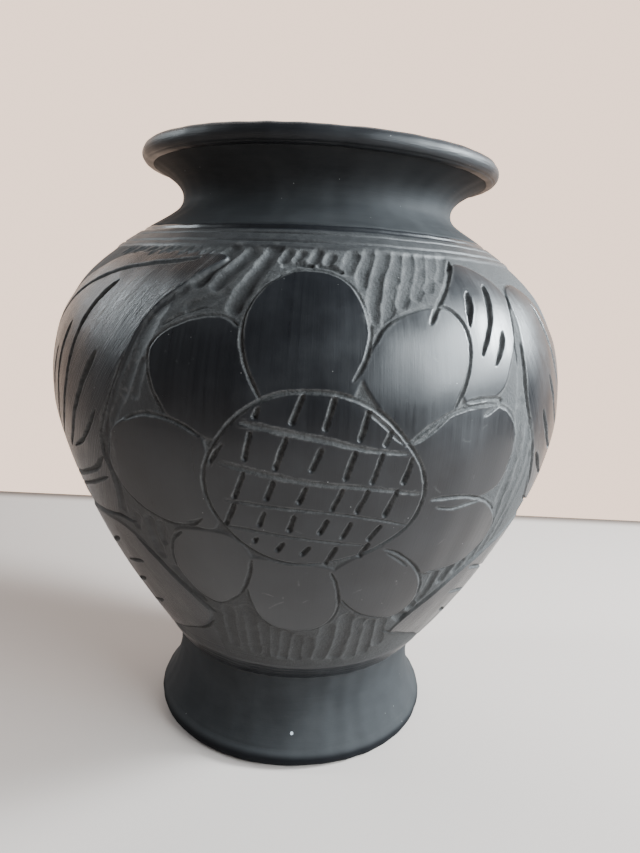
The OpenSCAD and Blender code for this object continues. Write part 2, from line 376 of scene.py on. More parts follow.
class Carving:
    """What the tools do, on a grid of columns (angles, degrees) and rows (points of the outline).

    Millimetres: cut and scoops are depths, burr a height, inside the distance from the nearest
    raised area, or below 0 within one. Shares from 0 to 1: ground, scraped, dust_and_painted_light
    (dust, raised higher up as painted light and lowered where shade is painted), brushed and
    unshaded, which is below 1 where shade is painted on the ground. lean is in radians.
    """

    def __init__(self, angles, outline, seed=7):
        self.angles = angles
        self.radius = outline[:, 0]
        self.height = outline[:, 1]
        self.run = run_at(self.height)
        shape = (len(self.radius), len(angles))
        self.cut = np.zeros(shape)
        self.burr = np.zeros(shape)
        self.inside = np.full(shape, FAR)
        self.ground = np.zeros(shape)
        self.scoops = np.zeros(shape)
        self.unshaded = np.ones(shape)
        self.scraped = np.zeros(shape)
        self.dust_and_painted_light = np.zeros(shape)
        self.lean = np.zeros(shape)
        self.brushed = np.zeros(shape)
        self.rng = np.random.default_rng(seed)

    def window(self, path, margin):
        """Rows and columns near a path, and the columns' angles unwrapped round its middle."""
        middle = path[:, 0].mean()
        angle = (self.angles - middle + 180) % 360 - 180 + middle
        run = run_at(path[:, 1])
        rows = np.nonzero((self.run > run.min() - margin) & (self.run < run.max() + margin))[0]
        if not len(rows):
            return None
        side = np.degrees(margin / self.radius[rows].min())
        cols = np.nonzero((angle > path[:, 0].min() - side) & (angle < path[:, 0].max() + side))[0]
        if not len(cols):
            return None
        return rows, cols, np.radians(angle[cols])

    def near(self, path, margin, closed=False):
        """The grid points near a path: rows, columns, distance to it, how far along it, its length,
        and each point's place round and up the surface."""
        found = self.window(path, margin)
        if found is None:
            return None
        rows, cols, angle = found
        a, v = np.radians(path[:, 0]), run_at(path[:, 1])
        if closed:
            a, v = np.append(a, a[0]), np.append(v, v[0])
        r = self.radius[rows][:, None]
        x = r * angle[None, :]
        y = np.broadcast_to(self.run[rows][:, None], x.shape)
        mean_r = self.radius[rows].mean()
        steps = np.hypot(np.diff(a) * mean_r, np.diff(v))
        start = np.concatenate([[0], np.cumsum(steps)])
        best = np.full(x.shape, 1e9)
        where = np.zeros(x.shape)
        for i in range(len(a) - 1):
            ex, ey = (a[i + 1] - a[i]) * r, v[i + 1] - v[i]
            dx, dy = x - a[i] * r, y - v[i]
            t = np.clip((dx * ex + dy * ey) / (ex * ex + ey * ey + 1e-9), 0, 1)
            d = np.hypot(dx - t * ex, dy - t * ey)
            closer = d < best
            best = np.where(closer, d, best)
            where = np.where(closer, start[i] + t * steps[i], where)
        return rows, cols, best, where, start[-1], x, y

    def line(self, path, half, depth, style="knife", ends=(1.0, 1.0), taper=3.0):
        """One cut along a path. A knife leaves a V, a chisel a flat floor with square ends, and a
        gouge and a scoop a round channel. ends scales the width at the start and the end."""
        path = path + self.rng.normal(0, 0.03, path.shape)
        wave = self.rng.uniform(0, 6.3, 4)
        found = self.near(path, half * 2.6 + 0.6)
        if found is None:
            return
        rows, cols, d, s, length, _, _ = found
        uneven = 0.4 * np.sin(s / 1.7 + wave[0]) + 0.3 * np.sin(s / 0.8 + wave[1])
        uneven = uneven + 0.5 * np.sin(s / 4.1 + wave[2])
        share = s / length
        width = half * (ends[0] + (ends[1] - ends[0]) * share) * (1 + 0.14 * uneven)
        tip = np.sqrt(np.clip(np.minimum(s, length - s) / taper + 0.06, 0, 1))
        if style == "scoop":
            tip = np.ones(tip.shape)
        x = d / np.maximum(width * tip, 0.05)
        form = {
            "knife": np.clip(1 - x, 0, 1) ** 0.8,
            "chisel": smoothstep((1.15 - x) / 0.5),
            "gouge": np.clip(1 - x * x, 0, 1) ** 0.7,
            "scoop": np.clip(1 - x ** 2.4, 0, 1) ** 1.1 * (1 + 0.1 * np.sin(s / 1.3 + wave[3])),
        }[style]
        cut = depth * np.minimum(1, 0.25 + tip) * (1 + 0.12 * uneven) * form
        edge = np.exp(-((d - width * 1.12) / (0.1 + 0.14 * half)) ** 2) * tip
        # Dust on the cuts is paler higher up the pot: partly dust, partly painted light falling from
        # above
        high = 0.3 + 0.7 * smoothstep((self.height[rows] - 88) / 30)[:, None]
        at = np.ix_(rows, cols)
        self.cut[at] = np.maximum(self.cut[at], cut)
        if style == "scoop":
            self.dust_and_painted_light[at] = np.maximum(self.dust_and_painted_light[at], 0.5 * high * np.exp(-((x - 0.95) / 0.3) ** 2))
        else:
            self.burr[at] = np.maximum(self.burr[at], 0.05 * edge)
            self.scraped[at] = np.maximum(self.scraped[at], smoothstep((1.25 - x) / 0.35))
            self.dust_and_painted_light[at] = np.maximum(self.dust_and_painted_light[at], high * np.clip(0.8 * edge + 0.5 * form, 0, 1))

    def area(self, path, lean=0.0, brushed=0.0):
        """Marks what lies in a closed outline: self.inside is the distance outside it, or below 0 within.

        lean and brushed describe the burnishing strokes within it."""
        margin = 6.0
        found = self.near(path, margin, closed=True)
        if found is None:
            return
        rows, cols, d, _, _, x, y = found
        a, v = np.radians(path[:, 0]), run_at(path[:, 1])
        angle = x / self.radius[rows][:, None]
        within = np.zeros(x.shape, bool)
        for i in range(len(a)):
            a0, v0, a1, v1 = a[i - 1], v[i - 1], a[i], v[i]
            if v0 == v1:
                continue
            crosses = ((v0 > y) != (v1 > y)) & (angle < (a1 - a0) * (y - v0) / (v1 - v0) + a0)
            within ^= crosses
        at = np.ix_(rows, cols)
        self.inside[at] = np.minimum(self.inside[at], np.where(within, -d, d))
        turn = np.radians(lean) * (path[:, 1].mean() - self.height[rows][:, None])
        self.lean[at] = np.where(within, turn, self.lean[at])
        self.brushed[at] = np.where(within, brushed, self.brushed[at])

    def clear_ground(self):
        """Turns the scoops cut so far into cleared ground, which spares the raised areas."""
        low_end = smoothstep((self.run - run_at(GROUND_FROM)) / 3)
        high_end = smoothstep((run_at(GROUND_TO) - self.run) / 0.8)
        self.ground = smoothstep((self.inside - 0.1) / 0.7) * (low_end * high_end)[:, None]
        self.scoops = self.cut * self.ground
        self.cut = np.zeros(self.cut.shape)
        # Painted shade: the ground left of the flower, away from the light, is made darker and less dusty
        past = (self.angles - GROUND_SHADE_TO) % 180 - 180 + GROUND_SHADE_TO - GROUND_SHADE_FROM
        painted_shade = smoothstep(past / 6)
        self.unshaded = 1 - 0.5 * painted_shade
        # Dusty rims round the raised areas, paler higher up: partly dust, partly painted light from above
        rim = smoothstep((1.7 - self.inside) / 0.9) * smoothstep((self.height - 84) / 40)[:, None]
        self.dust_and_painted_light = np.maximum(self.dust_and_painted_light, 0.5 * rim * self.ground * (1 - 0.9 * painted_shade))

    def scuff(self, path):
        """A faint pale scratch."""
        found = self.near(path, 0.8)
        if found is None:
            return
        rows, cols, d, *_ = found
        at = np.ix_(rows, cols)
        self.dust_and_painted_light[at] = np.maximum(self.dust_and_painted_light[at], 0.55 * np.exp(-(d / 0.2) ** 2))


def turned(points, turn, jitter, rng):
    """The points turned about the axis, each moved a little by hand unless turn is 0."""
    p = np.array(points, float)
    if turn:
        p = p + rng.normal(0, jitter, p.shape) * (0.7, 1.0)
    return p + (turn, 0)


# Scoops that clear the ground round the flower, as (half width, depth, points from the top)
SCOOPS = [
    # left of the top petal
    (2.5, 1.0, [(-8.4, 167.2), (-10.6, 161), (-12.6, 155), (-13.2, 152.4)]),
    (2.3, 0.9, [(-13.2, 166), (-15.6, 161.6), (-17.6, 157.4)]),
    (2.7, 1.0, [(-17.6, 166.6), (-20, 162.4), (-21.8, 158.2)]),
    (1.9, 0.45, [(-16.2, 155.6), (-18.6, 153.4), (-21.6, 151.6)]),
    (2.3, 0.45, [(-22.6, 158), (-25.4, 152.6)]),
    (2.1, 0.35, [(-26.2, 153.6), (-29, 147.2)]),
    (2.0, 0.3, [(-28.6, 147), (-30.4, 139)]),
    (1.8, 0.3, [(-30.4, 138), (-32.6, 129)]),
    (1.6, 0.25, [(-28.8, 137), (-30, 129)]),
    (1.6, 0.25, [(-32.8, 128.4), (-35.6, 121.6)]),
    # between the rings and the top petal
    (1.7, 0.7, [(-5.4, 166.4), (-6.2, 164.4)]),
    (1.5, 0.6, [(-2.6, 166.2), (-3.4, 164.8)]),
    (1.7, 0.65, [(0.8, 166.6), (0, 164.6)]),
    (1.5, 0.6, [(3.6, 165.8), (3, 164.6)]),
    (1.0, 1.1, [(-5.8, 163), (-2.8, 163.6), (-0.6, 163.4)]),
    (1.0, 1.1, [(1.2, 163.4), (3.4, 163.2), (5.4, 162.4)]),
    # right of the top petal
    (2.2, 0.6, [(8.2, 166.2), (6.8, 162.8)]),
    (2.1, 0.6, [(12, 166.8), (9.8, 162.4), (9.4, 159.6)]),
    (2.2, 0.6, [(15.2, 167), (12.4, 161), (11.2, 155.4), (10.8, 151.6)]),
    (2.1, 0.5, [(18.4, 166.8), (15.6, 160.4), (13.8, 154), (13.2, 151)]),
    (2.1, 0.55, [(21.4, 166.8), (18.6, 160.6), (16.4, 155.4)]),
    (2.1, 0.5, [(24.4, 166.8), (21.6, 161.4), (19.6, 157.4)]),
    (2.0, 0.45, [(27.4, 167), (24.8, 162.8), (22.8, 159.4)]),
    (1.7, 0.4, [(30.4, 167.2), (28, 164.2), (26, 161.8)]),
    # above the foot
    (2.2, 0.3, [(-22.4, 61), (-23.8, 54), (-24.4, 47.6)]),
    (2.3, 0.45, [(-18.6, 64), (-19.6, 55), (-20.2, 46.6)]),
    (2.1, 0.3, [(-15.8, 64), (-16.6, 54), (-17, 45)]),
    (2.5, 0.5, [(-13, 65.4), (-13.2, 56), (-13.6, 45.6)]),
    (2.0, 0.35, [(-9.6, 58.6), (-9.8, 51), (-10.2, 44)]),
    (1.9, 0.35, [(-6.6, 57.8), (-6.8, 51), (-7.2, 44.6)]),
    (2.1, 0.5, [(-3.2, 56), (-4, 50), (-4.6, 44)]),
    (2.4, 0.5, [(-0.4, 54.6), (-0.6, 49), (-0.6, 44)]),
    (2.0, 0.35, [(2.6, 54), (2.8, 49), (2.8, 45)]),
    (2.5, 0.5, [(7.4, 60), (7.6, 52), (7.2, 44)]),
    (2.4, 0.5, [(11.6, 64), (12, 54), (12.2, 44)]),
    (2.2, 0.4, [(15.4, 62), (16.6, 52), (17.8, 43.6)]),
    (2.2, 0.5, [(18.4, 61), (20.2, 52), (22, 44.6)]),
    (2.0, 0.4, [(21.8, 61), (23.4, 54), (25.4, 49)]),
    (2.0, 0.7, [(26.6, 62), (28.6, 60.6)]),
    # low on both sides, between the petals and the leaves
    (2.0, 0.6, [(-36, 92), (-37.2, 88.6)]),
    (2.2, 0.7, [(-32.2, 92), (-32.6, 86), (-32.6, 80.6)]),
    (1.7, 0.6, [(-29.4, 92), (-30.4, 86)]),
    (1.8, 0.6, [(-29.6, 76), (-27.6, 71), (-25.4, 66)]),
    (1.6, 0.6, [(31.4, 78), (31.4, 73), (30.6, 68)]),
    (1.8, 0.7, [(35.6, 79), (34.6, 74.6)]),
    (1.7, 0.6, [(39.6, 79.6), (38.4, 77)]),
    (1.7, 0.6, [(29.6, 70), (29, 65.4)]),
]
# Strips down both sides of the flower: (top, foot, number of strokes)
STRIPS = [
    ((42.4, 148), (42.6, 82), 6),
    ((46, 122), (45.4, 80), 4),
    ((49.4, 112), (48.6, 84), 3),
    ((-37.4, 120), (-39.4, 96), 3),
]


def strip_scoops():
    """The strips' strokes, one below the other with their ends overlapping."""
    rng = np.random.default_rng(21)
    scoops = []
    for top, foot, strokes in STRIPS:
        ends = straight(top, foot, strokes + 1)
        for upper, lower in zip(ends, ends[1:]):
            a = upper + rng.uniform(-0.5, 0.5, 2)
            b = lower + rng.uniform(-0.5, 0.5, 2)
            half = 2.0 + rng.uniform(-0.3, 0.3)
            scoops.append((half, 0.35, [a + (0, 1), (a + b) / 2 + (0.3, 0), b - (0, 3)]))
    return scoops


# The angles of the rows of strokes on a flank, how many scratches the body has, and the nicks' heights
FLANK_ROWS = np.arange(68, 114, 4.6)
SCUFF_COUNT = 220
NICK_TOP, NICK_FOOT = 167.2, 164.8


def flank_scoops():
    """Rows of long, shallow strokes over the ground of one flank."""
    rng = np.random.default_rng(33)
    scoops = []
    for angle in FLANK_ROWS:
        top = 166 + rng.uniform(-1, 0.5)
        while top > 44:
            foot = top - rng.uniform(17, 29)
            lean = rng.uniform(-3.0, 0.4)
            middle = (angle + lean * 0.3, 0.5 * (top + foot))
            half = 2.9 + rng.uniform(-0.4, 0.4)
            scoops.append((half, 0.4, [(angle, top), middle, (angle + lean, foot)]))
            top = foot - rng.uniform(1, 3)
    return scoops


def nicks():
    """The row of small slanted nicks between the rings and the left leaf."""
    rng = np.random.default_rng(4)
    angles = np.arange(-52, -20, 2.9)
    cuts = []
    for angle in angles + rng.uniform(-0.5, 0.5, len(angles)):
        half = 1.0 + rng.uniform(-0.2, 0.2)
        foot = NICK_FOOT + rng.uniform(-0.5, 0.5)
        cuts.append((half, 0.35, [(angle, NICK_TOP), (angle - 2.4, foot)]))
    return cuts


def scuffs():
    """Short scratches from handling, anywhere on the body."""
    rng = np.random.default_rng(8)
    paths = []
    for _ in range(SCUFF_COUNT):
        middle = np.array([rng.uniform(0, 360), rng.uniform(60, 166)])
        reach = rng.uniform(0.2, 1.0) ** 2 * 2.2
        step = reach * np.array([rng.uniform(-0.8, 0.8), rng.uniform(-1, 1)])
        bend = rng.uniform(-0.2, 0.2, 2) * reach
        paths.append(np.array([middle - step, middle + bend, middle + step]))
    return paths


# The turns in degrees at which the panel is cut: on the front and on the back
PANELS = (0, 180)


def carve(angles, outline):
    """All the cuts of the front panel, and the same panel cut again by hand on the back."""
    work = Carving(angles, outline)
    hand = np.random.default_rng(5)

    def strokes(cuts, turn, jitter, style="knife", ends=(1.0, 1.0), taper=3.0):
        for half, depth, path in cuts:
            work.line(smooth_path(turned(path, turn, jitter, hand)), half, depth, style, ends, taper)

    for turn in PANELS:
        for shape, lean, brushed in [(shape, 0.0, 0.0) for shape in (DISC, *PETALS)] + LEAVES:
            work.area(closed_path(turned(shape, turn, 0.25, hand)), lean, brushed)
    for turn in PANELS:
        strokes(SCOOPS + strip_scoops() + flank_scoops(), turn, 0.4, "scoop")
    work.clear_ground()
    for turn in PANELS:
        strokes(nicks(), turn, 0.3, "gouge", taper=1.5)
    for turn in PANELS:
        rim = closed_path(turned(DISC, turn, 0.25, hand))
        work.line(np.concatenate([rim, rim[:2]]), 0.52, 0.7, taper=0.5)
        strokes(FLOWER_LINES, turn, 0.25)
        strokes(DISC_LINES, turn, 0.2, "knife", (1.2, 0.7), taper=5)
        strokes([(*CHOP, ends) for ends in DISC_CUTS], turn, 0.25, "chisel", (1.1, 0.9), taper=0.5)
        strokes(LEAF_LINES, turn, 0.3, taper=4)
        strokes(SLASHES, turn, 0.3, "gouge", (1.1, 0.5), taper=4)
        strokes(MIDRIB_LINES, turn, 0.3, taper=5)
    for path in scuffs():
        work.scuff(path)
    return work


# ---------------- rings, facets and lopsidedness

# Ring grooves: (height, half width, depth)
RINGS = [(173.2, 0.9, 0.6), (171.4, 0.4, 0.42), (169.2, 0.6, 0.46), (167.7, 0.3, 0.2),
         (41.6, 0.5, 0.12), (38.4, 0.6, 0.16), (36.2, 0.4, 0.14), (34.4, 0.5, 0.16), (32.6, 0.4, 0.1)]
# The worn ridges between the upper ones
RIDGES_FROM, RIDGES_TO = 167.4, 172.7
CREASE = (HEEL_H, 1.3, 0.1)
COIL_LINE = (194.54, 0.35, 0.2)

RIM_TILT, RIM_TILT_FROM = 0.009, 176
shape_rng = np.random.default_rng(11)
WOBBLE = Waves(shape_rng, 10, (1, 5), (60, 160), 0.22)
FACETS = Waves(shape_rng, 16, (14, 46), (70, 240), 0.035)
RIPPLE = Waves(shape_rng, 14, (3, 16), (14, 40), 0.03)


# How far a hand-formed pot strays from round, as (height, millimetres): sideways and outwards
SWAY = [(-5, -0.5), (15, -0.4), (31, 0), (50, 1.0), (70, 1.2), (95, 0.9), (122, 0.1), (150, -0.1),
        (175, 0.3), (198, 1.1), (206, 1.1)]
SWELL = [(-5, 0.2), (20, 0.1), (33, 0.7), (46, 0.5), (68, 0.6), (92, 0.5), (116, 0), (145, 0.1),
         (160, 0.6), (174, -0.2), (198, 0.1), (206, 0.1)]


def lopsided(points):
    """The small irregularities of a hand-formed pot: it leans, it swells and its rim is tilted."""
    x, y, z = points.T
    sway, swell = smooth_path(SWAY), smooth_path(SWELL)
    sideways = np.interp(z, sway[:, 0], sway[:, 1])
    outward = np.interp(z, swell[:, 0], swell[:, 1]) / np.maximum(np.hypot(x, y), 20)
    tilt = RIM_TILT * smoothstep((z - RIM_TILT_FROM) / 18)
    return np.stack([x * (1 + outward) + sideways, y * (1 + outward), z - tilt * x], 1)


# ---------------- meshes

def columns(front, back, flank):
    """Angles round the pot, with the finest steps over the front panel."""
    spans = ((-72, 72, front), (72, 130, flank), (130, 230, back), (230, 288, flank))
    return np.concatenate([np.arange(*span) for span in spans])


CARVED_COLUMNS = columns(0.22, 0.3, 0.45)
PLAIN_COLUMNS = np.arange(0, 360, 0.75)


def tube_faces(rows, cols, poles):
    """Every face's corners, and where each face starts in them.

    The section is closed, or it has two poles, which are the last two points.
    """
    i = np.arange(rows - 1 if poles else rows)[:, None] * cols
    j = np.arange(cols)[None, :]
    i2, j2 = (i + cols) % (rows * cols), (j + 1) % cols
    quads = np.stack(np.broadcast_arrays(i + j, i + j2, i2 + j2, i2 + j), -1).reshape(-1, 4)
    loops, starts = quads.ravel(), np.arange(len(quads)) * 4
    if poles:
        j, j2 = j.ravel(), j2.ravel()
        top = (rows - 1) * cols
        low_fan = np.stack([np.full(cols, rows * cols), j2, j], 1)
        high_fan = np.stack([np.full(cols, rows * cols + 1), top + j, top + j2], 1)
        fans = np.concatenate([low_fan, high_fan])
        starts = np.concatenate([starts, len(loops) + np.arange(len(fans)) * 3])
        loops = np.concatenate([loops, fans.ravel()])
    return loops, starts


def revolve(name, before, outside, after, angles, displacement, attributes, hidden=(1.0, 1.0), hard=()):
    """A closed mesh from a section that runs before -> outside -> after and back to its start.

    Only outside is displaced, along its normal, by displacement (rows x columns). attributes are
    grids on outside; elsewhere scraped runs between the two hidden values and the others are 0.
    The edges of outside and the section's points listed in hard are sharp. A section that starts
    and ends on the axis gets one point at each of those ends, which takes the second hidden value
    in every grid. Nothing goes below the foot's seat.
    """
    section = np.concatenate([part for part in (before, outside, after) if len(part)])
    poles = section[0][0] == 0
    centres = [section[0][1], section[-1][1]] if poles else []
    if poles:
        section, before, after = section[1:-1], before[1:], after[:-1]
    rows, cols = len(section), len(angles)
    first, last = len(before), len(before) + len(outside) - 1
    a = np.radians(angles)
    slope = np.gradient(outside, axis=0)
    normal = np.stack([slope[:, 1], -slope[:, 0]], 1) / np.linalg.norm(slope, axis=1)[:, None]
    r = np.repeat(section[:, 0][:, None], cols, 1)
    z = np.repeat(section[:, 1][:, None], cols, 1)
    r[first:last + 1] += displacement * normal[:, 0][:, None]
    z[first:last + 1] += displacement * normal[:, 1][:, None]
    points = np.stack([r * np.sin(a), -r * np.cos(a), z], -1).reshape(-1, 3)
    points = np.concatenate([points, [(0, 0, c) for c in centres]]) if poles else points
    points = lopsided(points) * MM
    points[:, 2] = np.maximum(points[:, 2], 0)
    loops, starts = tube_faces(rows, cols, poles)
    mesh = bpy.data.meshes.new(name)
    mesh.vertices.add(len(points))
    mesh.vertices.foreach_set("co", points.ravel())
    mesh.loops.add(len(loops))
    mesh.loops.foreach_set("vertex_index", loops)
    mesh.polygons.add(len(starts))
    mesh.polygons.foreach_set("loop_start", starts)
    mesh.polygons.foreach_set("use_smooth", np.ones(len(starts), bool))
    mesh.update(calc_edges=True)
    edge = np.zeros(len(mesh.edges) * 2, int)
    mesh.edges.foreach_get("vertices", edge)
    row = edge.reshape(-1, 2) // cols
    sharp = (row[:, 0] == row[:, 1]) & np.isin(row[:, 0], [first, last, *hard])
    mesh.attributes.new("sharp_edge", "BOOLEAN", "EDGE").data.foreach_set("value", sharp)
    for key, grid in attributes.items():
        values = np.zeros((rows, cols))
        if key == "scraped":
            values[:first] = hidden[0]
            values[last + 1:] = np.linspace(hidden[0], hidden[1], rows - last - 1)[:, None]
        values[first:last + 1] = grid
        values = np.append(values.ravel(), [hidden[1]] * len(centres))
        mesh.attributes.new(key, "FLOAT", "POINT").data.foreach_set("value", values)
    piece = bpy.data.objects.new(name, mesh)
    bpy.context.scene.collection.objects.link(piece)
    return piece


def hand_surface(angles, run):
    """What forming and burnishing leave: a slow wobble and long upright facets."""
    a, v = np.radians(angles)[None, :], run[:, None]
    return WOBBLE(a, v) + FACETS(a, v) + RIPPLE(a, v)


def rings_depth(outline, rings):
    """Depth of ring grooves, (height, half width, depth), on the rows of an outline that climbs."""
    run = lengths(outline)
    height = outline[:, 1]
    total = np.zeros(len(run))
    for level, half, depth in rings:
        if height.min() - 1 < level < height.max() + 1:
            x = np.abs(run - np.interp(level, height, run)) / half
            total = np.maximum(total, depth * np.clip(1 - x, 0, 1) ** 0.9)
    return total


def plain_piece(name, outside, after, rings, run, hidden=(1.0, 1.0), hard=()):
    """A member with no carving: hand surface and ring grooves only."""
    depth = rings_depth(outside, rings)
    surface = hand_surface(PLAIN_COLUMNS, run) - depth[:, None]
    groove = np.clip(depth / 0.6, 0, 1)[:, None] * np.ones(len(PLAIN_COLUMNS))
    marks = {"scraped": 0.4 * groove, "dust_and_painted_light": 0.2 * groove}
    return revolve(name, [], outside, after, PLAIN_COLUMNS, surface, marks, hidden, hard)


def carved_body(lines):
    """The carved outsides of the body's members, cut as one so that every stroke runs on over a joint.

    Returns, for each outline, its displacement and its attributes.
    """
    outline = np.concatenate(lines)
    work = carve(CARVED_COLUMNS, outline)
    ring = rings_depth(outline, RINGS)[:, None]
    high = work.height[:, None]
    ridges = smoothstep((high - RIDGES_FROM) / 0.6) * smoothstep((RIDGES_TO - high) / 0.5)
    surface = hand_surface(CARVED_COLUMNS, work.run) - GROUND_DEPTH * work.ground
    surface = surface - work.scoops - work.cut - ring + work.burr
    # The ground counts as less scraped where shade is painted on it, which darkens it there
    scraped = np.maximum(np.maximum(work.ground * work.unshaded, work.scraped), 0.5 * ridges)
    dust_and_painted_light = np.clip(work.dust_and_painted_light + 0.18 * ridges, 0, 1)
    cuts = np.cumsum([len(line) for line in lines])[:-1]
    names = ("scraped", "dust_and_painted_light", "lean", "brushed")
    shares = zip(*(np.split(grid, cuts) for grid in (surface, scraped, dust_and_painted_light, work.lean, work.brushed)))
    return [(share[0], dict(zip(names, share[1:]))) for share in shares]


# Steps along the section, in millimetres: the carved outside, its rings, the inside, and plain members
OUT_STEP, RING_STEP, IN_STEP, PLAIN_STEP = 0.32, 0.22, 3.0, 0.35
RINGS_START = 0.88
BOWL_LINE = stretch(LOWER, 0, BOWL_SHARE, OUT_STEP)
BELLY_LINE = np.concatenate([
    stretch(LOWER, BOWL_SHARE, 1, OUT_STEP),
    stretch(UPPER, 0, BELLY_SHARE, OUT_STEP)[1:],
])
SHOULDER_LINE = np.concatenate([
    stretch(UPPER, BELLY_SHARE, RINGS_START, OUT_STEP),
    stretch(UPPER, RINGS_START, 1, RING_STEP)[1:],
])


def make_foot_ring():
    heel = arc((HEEL_R - HEEL_ROUND, 2.9), HEEL_ROUND, -75, 50, 16)
    outside = np.concatenate([heel, stretch(FOOT, 0.01, 1, PLAIN_STEP)])
    after = np.concatenate([
        straight((RECESS_R, RECESS_H), (RECESS_R + 2.2, 8), 8),
        [(RECESS_R + 4.4, 1.4), (RECESS_R + 6, 0), (HEEL_R - 2.9, 0)],
    ])
    run = np.concatenate([np.zeros(len(heel)), run_at(outside[len(heel):, 1])])
    return plain_piece("foot_ring_clay", outside, after, [CREASE], run, hard=[len(outside)])


def make_base_bowl(carving):
    underside = straight((0, RECESS_H), (RECESS_R, RECESS_H), 9)
    before = np.concatenate([underside, [(RECESS_R + 0.01, RECESS_H + 0.01)]])
    wall = stretch(LOWER, BOWL_SHARE - SCARF, 0.04, IN_STEP, WALL)
    floor = smooth_path([
        wall[-1],
        (WAIST_R - 10.5, FLOOR_Z + 2.2),
        (WAIST_R - 20, FLOOR_Z + 0.6),
        (8, FLOOR_Z),
        (0, FLOOR_Z),
    ], 4)
    after = np.concatenate([wall[:-1], floor])
    return revolve("base_bowl_clay", before, BOWL_LINE, after, CARVED_COLUMNS, *carving)


def make_belly_wall(carving):
    after = np.concatenate([
        stretch(UPPER, BELLY_SHARE - SCARF, 0, IN_STEP, WALL),
        stretch(LOWER, 1, BOWL_SHARE - SCARF, IN_STEP, WALL)[1:],
    ])
    return revolve("belly_wall_clay", [], BELLY_LINE, after, CARVED_COLUMNS, *carving)


def make_shoulder(carving):
    after = stretch(UPPER, 1 - SCARF, BELLY_SHARE - SCARF, IN_STEP, WALL)
    return revolve("shoulder_clay", [], SHOULDER_LINE, after, CARVED_COLUMNS, *carving)


def make_neck_collar():
    outside = np.concatenate([stretch(THROAT, 0, 1, PLAIN_STEP), stretch(FLARE, 0, 1, PLAIN_STEP)[1:]])
    after = smooth_path(np.concatenate([
        [LIP_EDGE],
        on(FLARE, np.linspace(0.85, 0.1, 7), NECK_WALL),
        on(THROAT, 1, NECK_WALL),
        on(THROAT, np.linspace(0.7, 0.25, 4), WALL),
        on(UPPER, 1 - SCARF, WALL),
    ]), 3)
    run = run_at(outside[:, 1])
    return plain_piece("neck_collar_clay", outside, after, RINGS, run, hidden=(0.1, 1.0))


def make_lip_coil():
    outside = arc(LIP_MID, LIP_HALF, CREASE_TURN - 360, EDGE_TURN, 52)
    after = straight(LIP_EDGE, LIP_UNDER, 4)[1:-1]
    run = np.full(len(outside), run_at(LIP_UNDER[1]))
    return plain_piece("lip_coil_clay", outside, after, [COIL_LINE], run, hidden=(0.1, 0.1))


# ---------------- fired clay

BURNISHED = (0.005, 0.0056, 0.007)
BURNISHED_THIN = (0.021, 0.0225, 0.0255)
SATIN = (0.0175, 0.0187, 0.0202)
SATIN_THIN = (0.042, 0.0442, 0.0462)
SCRAPED_DARK = (0.016, 0.0163, 0.017)
SCRAPED_LIGHT = (0.045, 0.046, 0.0465)
DUSTY = (0.11, 0.11, 0.108)
SPECK = (0.3, 0.3, 0.295)
FLECK = (0.42, 0.46, 0.5)
# A pale spot on the foot, as (middle, radius) in metres
FLECK_ON_FOOT = ((0.0005, -0.0475, 0.0105), 0.00052)


class Nodes:
    """Short calls to build the node tree of a material, or of the world with its own last node."""

    def __init__(self, owner, last="Principled BSDF"):
        owner.use_nodes = True
        self.tree = owner.node_tree
        self.shader = self.tree.nodes[last]

    def add(self, kind, **settings):
        node = self.tree.nodes.new(kind)
        for key, value in settings.items():
            setattr(node, key, value)
        return node

    def join(self, source, target):
        """Links an output to an input, or sets the input to a number or a vector."""
        if isinstance(source, (int, float, tuple)):
            target.default_value = source
        else:
            self.tree.links.new(source, target)

    def feed(self, node, **sources):
        """Joins each source to the node's input of that name, with _ for a space."""
        for name, source in sources.items():
            self.join(source, node.inputs[name.replace("_", " ")])
        return node.outputs

    def maths(self, operation, a, b=0.0, clamp=False):
        node = self.add("ShaderNodeMath", operation=operation, use_clamp=clamp)
        self.join(a, node.inputs[0])
        self.join(b, node.inputs[1])
        return node.outputs[0]

    def vector(self, operation, a, b=(0, 0, 0)):
        node = self.add("ShaderNodeVectorMath", operation=operation)
        self.join(a, node.inputs[0])
        self.join(b, node.inputs[1])
        return node.outputs["Value" if operation == "LENGTH" else "Vector"]

    def mix(self, share, a, b):
        """Colours or numbers a to b by share."""
        number = isinstance(a, (int, float)) or (hasattr(a, "type") and a.type == "VALUE")
        node = self.add("ShaderNodeMix", data_type="FLOAT" if number else "RGBA")
        sockets = (2, 3) if number else (6, 7)
        self.join(share, node.inputs[0])
        for value, index in zip((a, b), sockets):
            self.join((*value, 1) if isinstance(value, tuple) else value, node.inputs[index])
        return node.outputs[0 if number else 2]

    def above(self, value, start, gain):
        """How far value is above start, times gain, from 0 to 1."""
        return self.maths("MULTIPLY", self.maths("SUBTRACT", value, start, True), gain, True)

    def fade(self, value, start, end, low=0.0, high=1.0):
        """A soft step from low to high while value goes from start to end."""
        node = self.add("ShaderNodeMapRange", interpolation_type="SMOOTHSTEP")
        return self.feed(node, Value=value, From_Min=start, From_Max=end, To_Min=low, To_Max=high)[0]

    def noise(self, vector, scale, detail, rough):
        node = self.add("ShaderNodeTexNoise")
        return self.feed(node, Vector=vector, Scale=scale, Detail=detail, Roughness=rough)[0]

    def attribute(self, name):
        return self.add("ShaderNodeAttribute", attribute_name=name).outputs["Fac"]

    def place(self, kind="Object"):
        return self.add("ShaderNodeTexCoord").outputs[kind]

    def split(self, vector):
        return self.feed(self.add("ShaderNodeSeparateXYZ"), Vector=vector)


